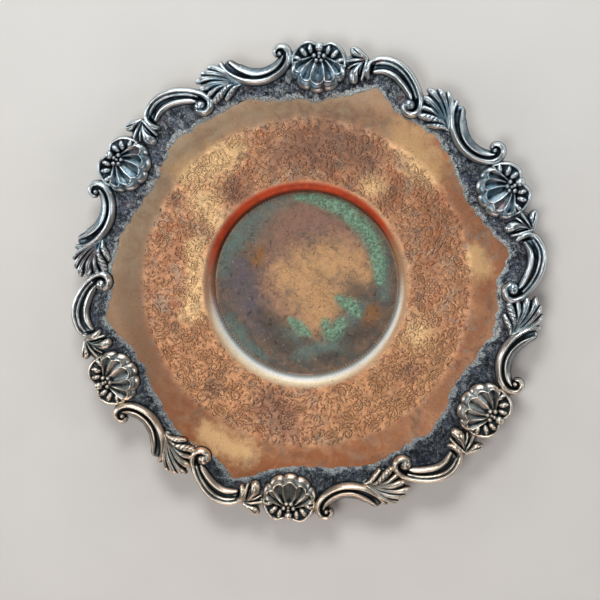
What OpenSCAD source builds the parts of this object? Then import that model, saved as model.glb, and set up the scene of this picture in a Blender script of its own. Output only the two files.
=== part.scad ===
// Round serving salver, 281 mm across: a copper sheet with a sunken centre and a
// sloping side, edged by a silver border of six equal repeats. Each repeat has a
// scallop shell, a leaf clasp, an outward C-scroll, an acanthus leaf and an
// inward C-scroll, all soldered on a flat ring.
// Origin: centre of the flat underside. +Z is up, +Y runs through the first shell.

/* [Plate] */
// Thickness of the sheet
sheet_t = 1.2; // [0.8:0.1:1.6]
// Radius of the flat floor of the well
well_r = 54.2; // [45:0.2:56]
// Depth of the well below the engraved band
well_depth = 6.8; // [4:0.2:9]
// Width of the sloping wall of the well
well_wall = 6.8; // [6:0.2:9]
// Outer radius of the flat engraved band
band_r = 97; // [90:0.5:99]
// Rise of the engraved band from its inner to its outer edge
band_rise = 0.8; // [0:0.1:2]
// Outer radius of the sloping side
side_r = 109; // [105:0.5:109]
// Rise of the sloping side
side_rise = 5.6; // [3:0.2:8]

/* [Border] */
// Thickness of the ring that the ornaments are soldered to
ring_t = 0.8; // [0.6:0.1:1.4]
// Height of the ornaments relative to the original
relief = 1; // [0.7:0.05:1.3]
// Thickness of the web that joins the ribs of one ornament
web_t = 1.2; // [0.8:0.1:1.6]

/* [Hidden] */
repeats = 6;
smooth = 3;               // steps between two points of the plate's outline
web_smooth = 2;           // the same for an ornament's outline
rib_sides = 6;
$fn = 96;

band_z = sheet_t + well_depth;                 // engraved band, at the well
flange_z = band_z + band_rise + side_rise;     // top of the sheet under the ring
seat_z = flange_z + ring_t;                    // where the ornaments sit
corner_r = 141;                                // outside everything

// One repeat lies between the middle of a shell, at the top, and the middle of the
// next one, clockwise. Points are [x, y]. Ribs are [x, y, half width, height].
ring_outer = [
    [0, 137.5], [6.5, 137], [13, 131.5], [19, 134.5], [24, 131.5], [31, 131],
    [38, 132], [45, 130], [51.5, 125.5], [56, 119], [60, 114.5], [69, 114],
    [77, 112], [83, 107.5], [83.5, 101], [87, 92.5], [91, 87], [97, 83],
    [103, 82.5], [108.5, 80], [112.5, 75.5]
];
ring_inner = [
    [0, 109.5], [11, 111], [21, 113.5], [29, 117], [35, 116.5], [40, 110],
    [46, 103], [54, 98.5], [63, 94], [72, 87], [81, 76], [88, 65.5]
];

shell_web = [
    [0, 112], [9.5, 116], [14, 121.5], [14.6, 127.5], [12.5, 133], [6.5, 138.5],
    [0, 139.5], [-6.5, 138], [-12, 133], [-14.2, 127.5], [-14, 121.5], [-9.5, 115.5]
];
hinge = [0, 131.5];
flutes = 5;
flute_angle = 27;
rim_radius = 15;
shell_arch_right = [
    [2.8, 135.5, 1.2, 3.6], [6.5, 138.3, 1.6, 4.2], [11.5, 134, 1.9, 4.4], [13, 129.5, 1.6, 3.8]
];
shell_arch_left = [
    [-2.8, 135.3, 1.2, 3.6], [-6, 137.2, 1.6, 4.2], [-10.5, 133.6, 1.9, 4.4], [-12.6, 128.7, 1.6, 3.8]
];
shell_beads = [
    [-2.1, 131.7, 1.8, 4.8], [2.4, 132.3, 1.8, 4.8], [0.2, 129.6, 1.7, 4.4], [0, 137.6, 2.8, 5.4]
];

clasp_web = [[15.8, 131], [20, 136.5], [25.2, 133], [26, 128], [25.4, 121], [20.5, 119.5], [18, 124], [20.5, 129]];
clasp_petal = [[24.8, 132.2, 1.3, 3.2], [22, 134.4, 1.8, 4], [19.8, 136.6, 0.9, 2.4]];
clasp_tongue = [[23, 132.3, 1.1, 3], [20.3, 133.2, 1.2, 3.2], [17.9, 134, 0.7, 2]];
clasp_lance = [[24, 131, 1, 2.8], [20, 130.6, 1, 2.8], [16.6, 130.9, 0.6, 1.8]];
clasp_bud = [[23.2, 129.6, 0.9, 2.6], [21.6, 126.6, 1.4, 3.6], [20.6, 123.4, 2.5, 4.4], [21.3, 120.6, 1.2, 2.6]];
clasp_stem = [[24.6, 130, 0.8, 2.6], [24.9, 125.5, 0.8, 3], [24.5, 121.6, 0.8, 2.4]];

outer_web = [
    [31, 124.2], [28.5, 130.5], [38, 133], [45, 131.2], [51.5, 126.6], [56, 121], [59, 115],
    [59.3, 109], [57.4, 105], [54, 103.6], [51.6, 105.2], [52.2, 110], [49, 116.5], [44, 121.6], [38, 124.2]
];
outer_rib = [
    [29.8, 130.6, 1.5, 4], [38, 132.3, 1.7, 5], [45.2, 130.2, 1.8, 5.2], [51.2, 126, 1.8, 5.2],
    [55.7, 119.8, 1.7, 5], [58.6, 113.5, 1.6, 4.8], [58.7, 108, 1.6, 4.8], [55.4, 104.2, 1.6, 5],
    [52, 105.4, 1.4, 5]
];
outer_inner_rib = [
    [31.4, 125.2, 1, 3.2], [38, 125.4, 1.1, 3.8], [44, 123, 1.1, 4], [49, 118.6, 1.1, 4], [52.4, 113.6, 1.1, 3.8],
    [54.2, 109.6, 1.2, 3.8]
];
outer_collar = [[30.2, 130.2, 1.4, 4.2], [28.5, 127.5, 1.7, 5], [28.1, 124.6, 1.8, 5], [28.8, 122.2, 1.2, 3.4]];
outer_eye = [53.6, 107, 2, 5.6];

leaf_web = [
    [73.6, 97.6], [69, 98], [62, 102.6], [62.6, 107.5], [62.2, 113], [62.8, 116.4], [69, 116],
    [75, 114.6], [76.4, 108], [75.4, 102]
];
leaf_lobes = [
    [[73.5, 99.4, 1.1, 2.6], [74.8, 106, 1.7, 4], [74.8, 114.6, 1, 2.2]],
    [[72.6, 100.6, 1.1, 2.8], [71.2, 108, 1.7, 4.2], [69, 115.8, 1, 2.4]],
    [[71.4, 101.6, 1.1, 3], [67.4, 109.6, 1.7, 4.2], [63, 116.2, 1, 2.4]],
    [[70.6, 101.6, 1.1, 3], [66, 107.4, 1.5, 3.8], [62.6, 112.4, 0.9, 2.4]],
    [[70.6, 101, 1.1, 3], [66.4, 104.4, 1.5, 3.6], [62.9, 106.6, 1, 2.4]],
    [[71, 100.2, 1.1, 2.8], [66.8, 101.4, 1.5, 3.6], [62.6, 102.7, 1.2, 2.6]],
    [[72.6, 98.6, 1, 2.4], [69.4, 98.6, 1.2, 3], [66.2, 98.9, 0.8, 2]]
];

// The inward scroll is given in the frame of the shell that follows it.
inner_web = [
    [-50.4, 127.6], [-45, 124.8], [-38, 123.6], [-32, 124.6], [-26.6, 127.8], [-23.6, 131], [-25.2, 134.6],
    [-21.5, 137.6], [-17, 134.6], [-15.9, 128.5], [-19, 120.5], [-25, 115.4], [-32, 113.4], [-40, 112.8],
    [-45.6, 113.4], [-49.6, 118], [-55.6, 123.6]
];
inner_outer_rib = [
    [-49.6, 126.9, 1.1, 3], [-45, 123, 1.4, 3.8], [-38, 121, 1.5, 4], [-32, 121.6, 1.5, 4], [-26.2, 124.6, 1.4, 4],
    [-22, 129, 1.2, 4], [-21, 132.2, 1.2, 4]
];
inner_main_rib = [
    [-55.4, 123.4, 1.1, 3], [-51, 119.6, 1.6, 4.4], [-45, 117.2, 2, 5.4], [-38, 116.3, 2.2, 5.8],
    [-31, 117.2, 2.2, 5.8], [-25, 120, 2, 5.6], [-20.2, 124.6, 1.7, 5.2], [-17.6, 129.6, 1.6, 5],
    [-17.6, 134.2, 1.6, 5], [-20.2, 136.9, 1.5, 5], [-23.8, 136, 1.3, 4.8]
];
inner_eye = [-22.6, 133.6, 2, 5.4];

// Smooth curve through a list of points of any size, by Catmull-Rom.
function catmull(a, b, c, d, t) = 0.5 * (
    2 * b + (c - a) * t + (2 * a - 5 * b + 4 * c - d) * t * t + (3 * b - a - 3 * c + d) * t * t * t
);
function open_curve(p) = [
    for (i = [0 : len(p) - 2], j = [0 : smooth - 1])
        catmull(p[max(i - 1, 0)], p[i], p[i + 1], p[min(i + 2, len(p) - 1)], j / smooth),
    p[len(p) - 1]
];
function closed_curve(p, steps = smooth) = [
    for (i = [0 : len(p) - 1], j = [0 : steps - 1])
        catmull(p[(i + len(p) - 1) % len(p)], p[i], p[(i + 1) % len(p)], p[(i + 2) % len(p)], j / steps)
];
// A point turned clockwise by k repeats.
function turned(p, k) = let (a = -360 * k / repeats)
    [p.x * cos(a) - p.y * sin(a), p.x * sin(a) + p.y * cos(a)];
function all_round(p) = [for (k = [0 : repeats - 1], q = p) turned(q, k)];

// A low flat-topped cone, the section of every rib.
module stud(p) {
    translate([p.x, p.y, 0]) cylinder(h = p[3] * relief, r1 = p[2], r2 = p[2] * 0.4, $fn = rib_sides);
}
module rib(points) {
    for (i = [0 : len(points) - 2]) hull() { stud(points[i]); stud(points[i + 1]); }
}
module web(points) {
    linear_extrude(web_t) polygon(closed_curve(points, web_smooth));
}
// Puts an ornament on the ring, at repeat k.
module on_ring(k) {
    translate([0, 0, seat_z]) rotate(-360 * (k - 1) / repeats) children();
}

module tray_plate() {
    well_top = well_r + well_wall;
    // Upper surface of the sheet, from the centre outwards.
    section = open_curve([
        [well_r, sheet_t], [well_r + well_wall * 0.22, sheet_t + well_depth * 0.36],
        [well_r + well_wall * 0.56, sheet_t + well_depth * 0.83], [well_top, band_z]
    ]);
    side = open_curve([
        [band_r, band_z + band_rise], [(band_r * 2 + side_r) / 3, band_z + band_rise + side_rise * 0.22],
        [(band_r + side_r * 2) / 3, band_z + band_rise + side_rise * 0.66], [side_r, flange_z]
    ]);
    upper = concat([[0, sheet_t]], section, side, [[corner_r, flange_z]]);
    lower = [for (i = [len(upper) - 1 : -1 : 0]) [upper[i].x, upper[i].y - sheet_t]];
    color("peru") intersection() {
        rotate_extrude() polygon(concat(upper, lower));
        linear_extrude(flange_z + 1) polygon(closed_curve(all_round(ring_outer)));
    }
}

module border_ring() {
    color("dimgray") translate([0, 0, flange_z]) linear_extrude(ring_t) difference() {
        polygon(closed_curve(all_round(ring_outer)));
        polygon(closed_curve(all_round(ring_inner)));
    }
}

module shell(k) {
    half = flutes * flute_angle / 2;
    color("silver") on_ring(k) {
        web(shell_web);
        // Ridges between the flutes, and the scalloped rim that they end in.
        for (i = [0 : flutes]) let (a = -90 - half + i * flute_angle) hull() {
            stud([hinge.x + 3 * cos(a), hinge.y + 3 * sin(a), 0.7, 2.6]);
            stud([hinge.x + 13 * cos(a), hinge.y + 13 * sin(a), 1.1, 4.6]);
        }
        rib([for (i = [0 : 2 * flutes]) let (a = -90 - half + i * flute_angle / 2, r = rim_radius - (i % 2 == 0 ? 0.9 : 0))
            [hinge.x + r * cos(a), hinge.y + r * sin(a), 1.5, 5.4]]);
        rib(shell_arch_left);
        rib(shell_arch_right);
        for (b = shell_beads) stud(b);
    }
}

module leaf_clasp(k) {
    color("silver") on_ring(k) {
        web(clasp_web);
        for (r = [clasp_petal, clasp_tongue, clasp_lance, clasp_bud, clasp_stem]) rib(r);
    }
}

module outer_scroll(k) {
    color("lightslategray") on_ring(k) {
        web(outer_web);
        for (r = [outer_rib, outer_inner_rib, outer_collar]) rib(r);
        stud(outer_eye);
    }
}

module acanthus_leaf(k) {
    color("silver") on_ring(k) {
        web(leaf_web);
        for (r = leaf_lobes) rib(r);
    }
}

module inner_scroll(k) {
    color("lightslategray") on_ring(k + 1) {
        web(inner_web);
        for (r = [inner_outer_rib, inner_main_rib]) rib(r);
        stud(inner_eye);
    }
}

tray_plate();
border_ring();
for (k = [1:repeats]) {
    shell(k);
    leaf_clasp(k);
    outer_scroll(k);
    acanthus_leaf(k);
    inner_scroll(k);
}
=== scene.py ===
import math
import random

import bmesh
import bpy
import numpy as np
from mathutils import Matrix, Vector
from mathutils.geometry import delaunay_2d_cdt
from mathutils.kdtree import KDTree


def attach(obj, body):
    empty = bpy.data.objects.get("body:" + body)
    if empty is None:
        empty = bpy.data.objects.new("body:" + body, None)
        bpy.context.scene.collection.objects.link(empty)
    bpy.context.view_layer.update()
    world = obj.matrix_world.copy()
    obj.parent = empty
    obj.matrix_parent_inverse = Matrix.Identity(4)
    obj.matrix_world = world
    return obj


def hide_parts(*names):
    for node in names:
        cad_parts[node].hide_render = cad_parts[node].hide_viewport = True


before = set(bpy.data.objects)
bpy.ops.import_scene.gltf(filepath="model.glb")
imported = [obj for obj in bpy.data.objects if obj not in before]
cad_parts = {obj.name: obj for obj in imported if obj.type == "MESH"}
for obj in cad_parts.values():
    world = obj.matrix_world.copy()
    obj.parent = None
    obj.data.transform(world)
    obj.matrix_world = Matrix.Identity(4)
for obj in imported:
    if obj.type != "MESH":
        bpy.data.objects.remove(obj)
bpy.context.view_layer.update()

BODY = "root"
MM = 0.001
REPEATS = 6

# ---- curves
# All shapes are drawn in millimetres, in the frame of the salver: the first shell is at
# +Y and the repeats follow clockwise. The meshes are scaled to metres at the end.


def smooth_curve(points, steps=6, closed=False):
    """Catmull-Rom curve through rows of numbers, with steps points for each span."""
    p = np.asarray(points, float)
    if closed:
        padded = np.vstack([p[-1:], p, p[:2]])
    else:
        padded = np.vstack([p[:1], p, p[-1:]])
    t = np.linspace(0, 1, steps, endpoint=False)[:, None]
    spans = []
    for a, b, c, d in zip(padded, padded[1:], padded[2:], padded[3:]):
        cubic = 3 * b - a - 3 * c + d
        square = 2 * a - 5 * b + 4 * c - d
        spans.append(0.5 * (2 * b + (c - a) * t + square * t**2 + cubic * t**3))
    if not closed:
        spans.append(p[-1:])
    return np.vstack(spans)


def turned(points, repeats):
    """Points turned clockwise about the middle of the salver by a number of repeats."""
    angle = -2 * math.pi * repeats / REPEATS
    c, s = math.cos(angle), math.sin(angle)
    p = np.array(points, float)
    x, y = p[:, 0].copy(), p[:, 1].copy()
    p[:, 0] = x * c - y * s
    p[:, 1] = x * s + y * c
    return p


def along_segment(x, y, a, b):
    """For each point: the share of the way from a to b nearest to it, its distance, and its side."""
    step = b[:2] - a[:2]
    dx, dy = x - a[0], y - a[1]
    t = np.clip((dx * step[0] + dy * step[1]) / max(step @ step, 1e-9), 0, 1)
    return t, np.hypot(dx - t * step[0], dy - t * step[1]), step[0] * dy - step[1] * dx


# ---- relief
class Relief:
    """Height of one cast ornament above the ring, over a fine grid of points."""

    STEP = 0.2
    FALL = 3.0  # steepness outside a form
    FLOOR = -3.0
    FAR = 99.0  # farther from a curve than any point is
    TAPER = 6  # left and right come in over a sixth of the length from each end

    def __init__(self, low, high):
        xs = np.arange(low[0], high[0] + self.STEP, self.STEP)
        ys = np.arange(low[1], high[1] + self.STEP, self.STEP)
        self.low = low
        self.x, self.y = np.meshgrid(xs, ys)
        self.z = np.full(self.x.shape, self.FLOOR)

    def nearest(self, points, left=1.0, right=1.0):
        """Distance to a curve over its half width, the distance outside it, and its height.

        left and right widen the form on either side of the curve, away from its two ends.
        """
        path = smooth_curve(points)
        along = np.linspace(0, 1, len(path))
        ratio = np.full(self.x.shape, self.FAR)
        spare = np.full(self.x.shape, self.FAR)
        height = np.zeros(self.x.shape)
        for a, b, place in zip(path, path[1:], along):
            t, distance, turn = along_segment(self.x, self.y, a, b)
            inner = min(1, self.TAPER * min(place, 1 - place))
            side = 1 + inner * (np.where(turn > 0, left, right) - 1)
            width = (a[2] + (b[2] - a[2]) * t) * side
            closer = distance / width < ratio
            ratio = np.where(closer, distance / width, ratio)
            spare = np.where(closer, distance - width, spare)
            height = np.where(closer, a[3] + (b[3] - a[3]) * t, height)
        return ratio, spare, height

    def ridge(self, points, power=0.5, left=1.0, right=1.0):
        """A rounded rib along [x, y, half width, height] points."""
        ratio, spare, height = self.nearest(points, left, right)
        inside = height * np.clip(1 - ratio**2, 0, 1) ** power
        self.z = np.maximum(self.z, np.where(ratio < 1, inside, -spare * self.FALL))

    def groove(self, points):
        """A furrow along [x, y, half width, depth] points, cut into what is there."""
        ratio, _, depth = self.nearest(points)
        self.z = self.z - depth * np.clip(1 - ratio**2, 0, 1)

    def dome(self, x, y, rx, ry, height, angle=0.0):
        """A rounded bead with half axes rx and ry, turned by angle degrees."""
        c, s = math.cos(math.radians(angle)), math.sin(math.radians(angle))
        dx, dy = self.x - x, self.y - y
        ratio = np.hypot((dx * c + dy * s) / rx, (dy * c - dx * s) / ry)
        inside = height * np.clip(1 - ratio**2, 0, 1) ** 0.5
        outside = -(ratio - 1) * min(rx, ry) * self.FALL
        self.z = np.maximum(self.z, np.where(ratio < 1, inside, outside))

    def soften(self, radius):
        self.z = blurred(self.z, radius / self.STEP)

    def sample(self, values, x, y):
        """Values of a grid at points, by bilinear interpolation."""
        rows, cols = values.shape
        u = np.clip((x - self.low[0]) / self.STEP, 0, cols - 1.001)
        v = np.clip((y - self.low[1]) / self.STEP, 0, rows - 1.001)
        i, j = v.astype(int), u.astype(int)
        fu, fv = u - j, v - i
        low = values[i, j] * (1 - fu) + values[i, j + 1] * fu
        high = values[i + 1, j] * (1 - fu) + values[i + 1, j + 1] * fu
        return low * (1 - fv) + high * fv


def blurred(values, sigma):
    """Gaussian blur of a grid, sigma in grid steps."""
    reach = max(1, int(3 * sigma))
    offsets = np.arange(-reach, reach + 1)
    weights = np.exp(-0.5 * (offsets / sigma) ** 2)
    weights /= weights.sum()
    for axis in (0, 1):
        pad = [(reach, reach) if a == axis else (0, 0) for a in (0, 1)]
        wide = np.pad(values, pad, mode="edge")
        size = values.shape[axis]
        total = 0
        for offset, weight in zip(offsets, weights):
            cut = slice(reach + offset, reach + offset + size)
            total = total + weight * (wide[cut] if axis == 0 else wide[:, cut])
        values = total
    return values


def smoothstep(low, high, value):
    t = np.clip((value - low) / (high - low), 0, 1)
    return t * t * (3 - 2 * t)


# ---- ornaments
HINGE = (0, 133)
ROSETTE_RADIUS = 4.5
FAN_LENGTH = 11.3  # from the rosette to the lip between two flutes
LIP_WIDTH = 0.45
APRON_HEIGHT = 4.9
FAN_ROUND_OFF = 1.6  # where the fan ends beside its last ridge


def flute_place(theta, rho):
    """Number of the flute at a bearing from the hinge, with halves on the ridges, and the last ridge."""
    out = np.clip((rho - ROSETTE_RADIUS) / FAN_LENGTH, 0, 1.2)
    first, second, last = 27 - 12.5 * out, 53 - 11 * out, 73 - 6 * out
    flute = np.where(theta < first, 0.5 * theta / first, 0.5 + (theta - first) / (second - first))
    return np.where(theta > second, 1.5 + (theta - second) / (last - second), flute), last


def add_shell_fan(r):
    """Five hollow flutes that open out from the rosette, a scalloped lip and a falling apron."""
    dx, dy = r.x - HINGE[0], HINGE[1] - r.y
    rho = np.hypot(dx, dy)
    theta = np.abs(np.degrees(np.arctan2(dx, dy)))
    flute, last = flute_place(theta, rho)
    swell = np.abs(np.cos(np.pi * flute)) ** 0.7
    narrow = 1 - 0.06 * np.clip(theta / 70, 0, 1) ** 2
    rim = (14.5 + 2.0 * swell) * narrow
    edge = (20.6 + 1.0 * swell) * (1 - 0.24 * np.clip(theta / 76, 0, 1) ** 2.6)
    q = np.clip(rho / rim, 0, 1)
    hollow = 1.2 + 3.2 * q
    crest = 3.2 + 2.3 * q
    bowl = hollow + (crest - hollow) * (1 - swell) ** (1.3 - 0.75 * q)
    lip = np.exp(-(((rho - rim) / LIP_WIDTH) ** 2))
    past = (rho - rim) / (edge - rim)
    rounded = np.clip(1 - np.clip(past, 0, 1) ** 2.6, 0, 1) ** 0.5
    apron = APRON_HEIGHT * rounded - 0.7 * past * (1 - swell) ** 2
    apron = np.where(past > 1, -(rho - edge) * r.FALL, apron)
    fan = np.where(rho < rim, bowl, apron) + 0.6 * lip
    over = np.clip(theta - last, 0, 90)
    beyond = rho * np.sin(np.radians(over))
    fade = np.clip(1 - (beyond / FAN_ROUND_OFF) ** 2, 0, 1) ** 0.5
    side = np.minimum(fan, np.maximum(fan, 0) * fade)
    side = np.where(beyond < FAN_ROUND_OFF, side, -(beyond - FAN_ROUND_OFF) * r.FALL)
    r.z = np.maximum(r.z, np.where(over > 0, side, fan))


def shell_relief():
    """Scallop shell: the fan, a rosette hinge, and fat fingers under an arched band on each side."""
    r = Relief((-18.4, 108.6), (18.4, 142.4))
    add_shell_fan(r)
    arch = ((2.4, 136.4, 2.0, 3.2), (6.6, 136.8, 3.4, 3.7), (10.8, 134.0, 3.8, 3.7),
            (12.8, 130.2, 3.2, 3.5), (13.4, 126.6, 2.0, 2.4))
    outer_band = ((2.4, 138.4, 1.2, 4.0), (6.6, 139.6, 1.4, 4.8), (11.0, 137.4, 1.4, 4.8),
                  (14.0, 133.0, 1.4, 4.6), (14.9, 128.6, 1.2, 4.0), (14.4, 125.8, 0.9, 3.2))
    fingers = ((5.2, 136.2, 14, 2.2, 3.6), (9.1, 134.2, 42, 2.4, 4.0), (12.0, 130.2, 68, 2.2, 4.0))
    for hand in (-1, 1):
        r.ridge([(hand * x, *rest) for x, *rest in arch], 0.3)
        r.ridge([(hand * x, *rest) for x, *rest in outer_band])
        for x, y, angle, wide, length in fingers:
            r.dome(hand * x, y, wide, length, 5.6, -hand * angle)
    # Beads of the rosette, and last the knob above it.
    for x, y, size, height in (
        (-2.8, 132.4, 2.0, 5.0), (2.8, 132.6, 2.0, 5.0), (-1.3, 129.9, 1.9, 5.0), (1.4, 130.0, 1.8, 4.8),
        (0.1, 133.8, 1.9, 5.0), (0.1, 131.9, 1.4, 5.8), (-0.2, 137.1, 3.2, 6.0),
    ):
        r.dome(x, y, size, size, height)
    r.soften(0.16)
    return r


def leaf_clasp_relief():
    """Bud-and-petal clasp: a broad petal outwards, thin leaves left, a bud and a stem inwards."""
    r = Relief((13.2, 115.5), (29.5, 141))
    r.ridge([[17, 130.6, 2.4, 1.8], [22, 131.6, 3.6, 2.4], [26, 131.4, 2.4, 2.4]], 0.25)
    r.ridge([[24.4, 130, 2.8, 2.2], [22.6, 125, 3.8, 2.2], [22.2, 121, 3, 1.6]], 0.25)
    r.ridge([[27.2, 132.6, 1.2, 3.8], [24, 134.2, 2.2, 4.8], [21, 135.6, 3, 5.2], [19.4, 137, 2.2, 4]])
    r.ridge([[26.4, 131.8, 1, 3.6], [21.4, 131.4, 1.5, 4.2], [16.2, 130.4, 1.1, 3]])
    r.ridge([[25.8, 130.4, 1, 3.4], [20.6, 128.6, 1.3, 4], [17, 126.6, 0.9, 2.8]])
    r.ridge([[24.8, 130, 1.3, 3.6], [22.8, 127, 2.5, 5], [20.9, 123.4, 3.5, 5.9], [20.6, 120.6, 3, 5.4]])
    r.ridge([[27.2, 131.4, 1.1, 3.6], [26.2, 126, 1.4, 4.6], [25.2, 120.6, 1.2, 3.6]])
    r.groove([[24.2, 134, 0.3, 0.4], [21.6, 135.6, 0.5, 1.1], [19.2, 137.6, 0.5, 1.1]])
    r.groove([[24.4, 128.6, 0.3, 0.4], [23.2, 125.6, 0.5, 1.2], [23.4, 121.4, 0.5, 1]])
    r.soften(0.16)
    return r


def outer_scroll_relief():
    """C-scroll that bulges outwards: collar, bold outer rib, dark channel, inner rib and rolled eye."""
    r = Relief((24.0, 99.0), (64.0, 138))
    r.ridge([[31, 128.4, 3.6, 2.2], [38, 129, 4.2, 2.4], [45, 126.8, 4.4, 2.4], [50.4, 122.2, 4.4, 2.4],
             [54.4, 116.6, 4, 2.2], [56.2, 111, 3.2, 1.8], [55, 107, 3.6, 1.8]], 0.25)
    r.ridge([[29, 130.2, 1.4, 4.2], [31.8, 131.9, 1.8, 5], [35.4, 132.7, 2, 5.3], [40, 132.5, 2.1, 5.5],
             [45.6, 130.6, 2.1, 5.6], [51.2, 126.2, 2.1, 5.6], [55.8, 119.8, 2, 5.4], [58.7, 113.6, 1.9, 5.2],
             [59.6, 109, 1.9, 5.2], [58.6, 104.8, 2.1, 5.3], [55.2, 102.8, 2.4, 5.4], [51.6, 104.2, 2.6, 5.2],
             [50.4, 107.4, 2.4, 5]])
    r.ridge([[30.5, 129.6, 1.4, 3.2], [35.4, 130.6, 1.9, 4.5], [40, 130.4, 2, 4.7], [45, 128.4, 2, 4.7],
             [50, 124.2, 2, 4.6], [54.2, 118.4, 1.9, 4.4], [56.8, 112.6, 1.5, 3.8]], 0.7)
    r.ridge([[31.4, 125.4, 1.4, 3.8], [38, 126, 1.7, 4.6], [44, 123.7, 1.8, 4.8], [49, 119.3, 1.8, 4.8],
             [52.6, 114.6, 1.6, 4.6], [53.8, 111.6, 1.3, 4.2]], 0.6, 1.2, 1.5)
    r.ridge([[31, 131.4, 1.5, 4.4], [28.7, 129.2, 1.9, 5.4], [27.8, 125.6, 2.2, 5.7],
             [28.8, 122.2, 1.6, 4.2]])
    r.dome(52.9, 107.9, 3.9, 3.9, 6.0)
    r.groove([[55.4, 104.6, 0.3, 0.2], [56.9, 106.4, 0.5, 1.4], [57, 109.4, 0.5, 1.4],
              [55.6, 111.6, 0.4, 0.6]])
    r.groove([[32, 129.8, 0.4, 0.8], [30.8, 126.6, 0.6, 1.6], [31, 123.4, 0.4, 0.8]])
    r.soften(0.16)
    return r


def acanthus_leaf_relief():
    """Acanthus leaf: lobes fan out from the root beside the inward scroll, the lowest two curled."""
    r = Relief((56.5, 90.5), (82, 121.5))
    r.ridge([[76, 96, 3, 1.4], [71.6, 104, 6, 1.8], [68.6, 111, 6.4, 1.6]], 0.25)
    r.ridge([[74, 98, 3, 1.4], [67.4, 100.6, 4.6, 1.6], [63.6, 103, 3.6, 1.4]], 0.25)
    upper = (
        [[76.4, 96.4, 1, 3], [77, 102.6, 1.5, 4.3], [76.6, 109, 2.1, 5.2], [75.2, 114.2, 1.9, 4.8],
         [74.4, 116.2, 1.1, 3.4]],
        [[76, 97.4, 1, 3], [75.4, 104.4, 1.4, 4.4], [73.6, 110.6, 2.2, 5.4], [70.8, 115.4, 2.2, 5.2],
         [69.2, 117.4, 1.2, 3.6]],
        [[75.6, 97.8, 1, 3], [73.4, 104.6, 1.4, 4.2], [70.4, 110.6, 2.1, 5], [66.6, 115.2, 2.4, 5.4],
         [63.8, 117, 1.4, 3.8]],
        [[75, 98.6, 1, 3], [71.4, 104, 1.8, 4.6], [67.8, 108.4, 2.9, 5.4], [64, 111.4, 2.6, 5],
         [61.8, 112.6, 1.5, 3.6]],
        [[74.6, 98.8, 1, 3], [70.4, 102.8, 1.6, 4.6], [66, 105.8, 2.3, 5.2], [61.2, 107.2, 1.7, 3.8]],
    )
    lower = (
        [[75.8, 97, 1.1, 2.8], [71.4, 100.2, 2.1, 4.8], [66, 101.6, 2.9, 5.4], [60.4, 102.4, 2.1, 4]],
        [[76.4, 95.2, 1, 2.6], [72.8, 97, 1.8, 4.6], [68.8, 97.4, 2.2, 4.8], [65, 97.4, 1.6, 3.4]],
    )
    for lobe in upper + lower:
        r.ridge(lobe)
    for lobe in upper[:4]:
        depth = [0.1] + [0.45] * (len(lobe) - 2) + [0.1]
        r.groove([[x, y, 0.25 + 0.25 * d, d] for (x, y, _, _), d in zip(lobe, depth)])
    # Furrows that run aslant over the two curled lobes.
    for x, y in ((70.6, 100.6), (67.8, 101.4), (65.0, 101.8), (62.4, 102.2)):
        r.groove([[x + 1.6, y + 1.6, 0.3, 0.1], [x, y, 0.4, 0.5], [x - 2.0, y - 2.0, 0.4, 0.6]])
    for x, y in ((71.4, 97.2), (69.0, 97.5)):
        r.groove([[x + 1.2, y + 1.2, 0.3, 0.1], [x, y, 0.4, 0.5], [x - 1.4, y - 1.6, 0.3, 0.5]])
    r.soften(0.14)
    return r


def inner_scroll_relief():
    """C-scroll that curves inwards, drawn in the frame of the shell that follows it."""
    r = Relief((-62, 107.4), (-12.4, 141.4))
    r.ridge([[-51, 124, 3.4, 2], [-45, 120.4, 4, 2.2], [-38, 119.2, 4.4, 2.2], [-31, 119.8, 4.4, 2.2],
             [-25, 122.6, 4, 2.2], [-20.6, 128, 3.4, 2], [-21, 133.6, 3.4, 1.8]], 0.25)
    r.ridge([[-51.2, 125.6, 1.2, 3.8], [-45.4, 121.6, 1.4, 4.8], [-38, 119.5, 1.5, 5], [-31.4, 120.2, 1.5, 5],
             [-25.6, 123.2, 1.4, 4.8], [-21.8, 127.4, 1.2, 4.6], [-20.6, 131, 1, 4.4]], 0.9, 2.7, 0.9)
    r.ridge([[-56.8, 124.8, 1.4, 3.8], [-52.2, 120.2, 1.6, 5], [-45, 117, 1.8, 5.7], [-38, 116, 1.9, 5.9],
             [-31, 116.9, 1.9, 5.9], [-25, 119.8, 1.8, 5.7], [-20.2, 124.2, 1.7, 5.5], [-17.8, 129, 1.7, 5.5],
             [-18.2, 133.2, 1.7, 5.5], [-20.6, 135.8, 1.6, 5.5], [-23.6, 135.6, 1.6, 5.4],
             [-25.3, 133.4, 1.4, 5], [-24.8, 131.4, 1.1, 4.6]], 0.7, 1, 1.6)
    r.dome(-22.6, 132.4, 1.8, 1.8, 5.6)
    r.soften(0.16)
    return r


# ---- meshes
RING_TOP = 15.2
SEAT = RING_TOP - 0.3  # the ornaments are bedded in the solder of the ring
SKIRT = -0.6  # cells of a relief below this are left out before its foot is cut flat
SHADE_SIZE = 0.9  # width of the blur that tells crests from hollows
SHADE_DEPTH = 1.3
FULL_HEIGHT = 5.5


def scene_object(name, mesh):
    piece = bpy.data.objects.new(name, mesh)
    bpy.context.collection.objects.link(piece)
    return piece


def new_mesh(name, points, faces):
    mesh = bpy.data.meshes.new(name)
    mesh.from_pydata(points.tolist(), [], faces)
    return mesh


def finish_mesh(mesh, sharp_degrees):
    mesh.shade_smooth()
    mesh.set_sharp_from_angle(angle=math.radians(sharp_degrees))
    mesh.validate()
    mesh.update()


def set_attribute(mesh, name, values):
    layer = mesh.attributes.new(name, "FLOAT", "POINT")
    layer.data.foreach_set("value", np.asarray(values, np.float32))


def coordinates(mesh):
    flat = np.zeros(len(mesh.vertices) * 3)
    mesh.vertices.foreach_get("co", flat)
    return flat.reshape(-1, 3)


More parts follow.
